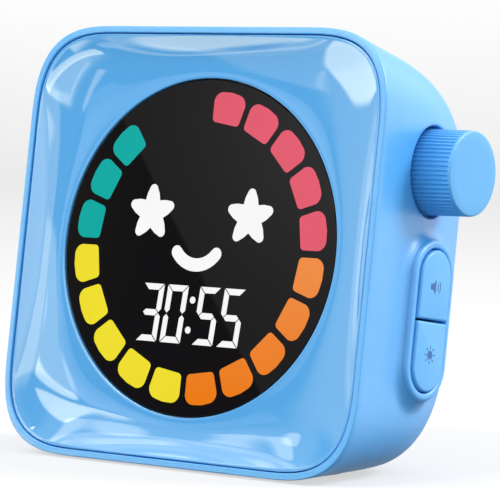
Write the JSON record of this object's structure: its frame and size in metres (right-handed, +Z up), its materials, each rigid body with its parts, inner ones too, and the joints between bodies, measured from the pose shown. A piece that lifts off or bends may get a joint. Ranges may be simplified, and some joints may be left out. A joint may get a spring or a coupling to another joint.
{
  "type": "visual timer",
  "caption": "Leaning rounded-square visual countdown timer with a dished front, a round lit display, a push-and-turn knob and two side buttons.",
  "frame": {"origin": "middle of the rubber base pad, on the surface that the timer stands on", "axes": "+Z up, -Y towards the user in front of the display, +X to the side with the knob and buttons; the face leans back 7 degrees about X"},
  "size_m": [0.0959, 0.0511, 0.0875],
  "materials": {
    "case_blue": "satin",
    "bezel_blue": "high gloss",
    "knob_blue": "satin",
    "button_blue": "satin",
    "lens_black": "polished",
    "window_red": "lit",
    "window_orange": "lit",
    "window_yellow": "lit",
    "window_green": "lit",
    "window_dark": "unlit",
    "window_white": "lit",
    "film_white": "translucent film",
    "grid_white": "satin",
    "board_green": "solder resist",
    "led_chip": "clear coat",
    "chip_black": "moulded",
    "screw_steel": "zinc plated",
    "spacer_brass": "turned",
    "encoder_metal": "plated",
    "shaft_metal": "turned",
    "plunger_white": "moulded",
    "plunger_black": "moulded",
    "cell_silver": "foil pouch",
    "tape_foam": "foam",
    "lead_red": "insulated wire",
    "lead_black": "insulated wire",
    "ribbon_white": "flat cable",
    "speaker_frame": "stamped",
    "speaker_paper": "paper cone",
    "black_foam": "foam",
    "socket_steel": "plated",
    "pad_rubber": "matte"
  },
  "bodies": {
    "case": {"main_shell": "case_blue", "front_bezel": "bezel_blue", "bezel_gasket": "black_foam", "display_lens": "lens_black", "red_windows": "window_red", "orange_windows": "window_orange", "yellow_windows": "window_yellow", "green_windows": "window_green", "dark_windows": "window_dark", "face_windows": "window_white", "digit_windows": "window_white", "lens_adhesive": "black_foam", "diffuser_film": "film_white", "light_grid": "grid_white", "display_board": "board_green", "segment_leds": "led_chip", "face_leds": "led_chip", "digit_leds": "led_chip", "display_board_screws": "screw_steel", "board_spacers": "spacer_brass", "main_board": "board_green", "board_chips": "chip_black", "main_board_screws": "screw_steel", "side_board": "board_green", "encoder_body": "encoder_metal", "encoder_washer": "screw_steel", "encoder_nut": "screw_steel", "switch_housings": "chip_black", "battery_cell": "cell_silver", "battery_tape": "tape_foam", "battery_lead": "lead_red", "speaker": "speaker_frame", "speaker_cone": "speaker_paper", "speaker_gasket": "black_foam", "speaker_lead": "lead_black", "side_lead": "ribbon_white", "rear_cover": "case_blue", "rear_cover_screws": "screw_steel", "usb_socket": "socket_steel", "usb_board": "board_green", "usb_board_screws": "screw_steel", "base_pad": "pad_rubber"},
    "push_stage": {"encoder_plunger": "plunger_white"},
    "knob": {"encoder_shaft": "shaft_metal", "knob": "knob_blue"},
    "volume_key": {"volume_button": "button_blue", "volume_plunger": "plunger_black"},
    "light_key": {"light_button": "button_blue", "light_plunger": "plunger_black"}
  },
  "joints": [
    {"name": "knob_push", "type": "slide", "parent": "case", "child": "push_stage", "axis": [-1, 0, 0], "range_m": [0, 0.0005], "stiffness_N_per_m": 4000, "springref_m": -0.0004},
    {"name": "knob_turn", "type": "hinge", "parent": "push_stage", "child": "knob", "pos_m": [0, 0.01347, 0.06005], "axis": [1, 0, 0], "continuous": true},
    {"name": "volume_press", "type": "slide", "parent": "case", "child": "volume_key", "axis": [-1, 0, 0], "range_m": [0, 0.0005], "stiffness_N_per_m": 3000, "springref_m": -0.0003},
    {"name": "light_press", "type": "slide", "parent": "case", "child": "light_key", "axis": [-1, 0, 0], "range_m": [0, 0.0005], "stiffness_N_per_m": 3000, "springref_m": -0.0003}
  ]
}
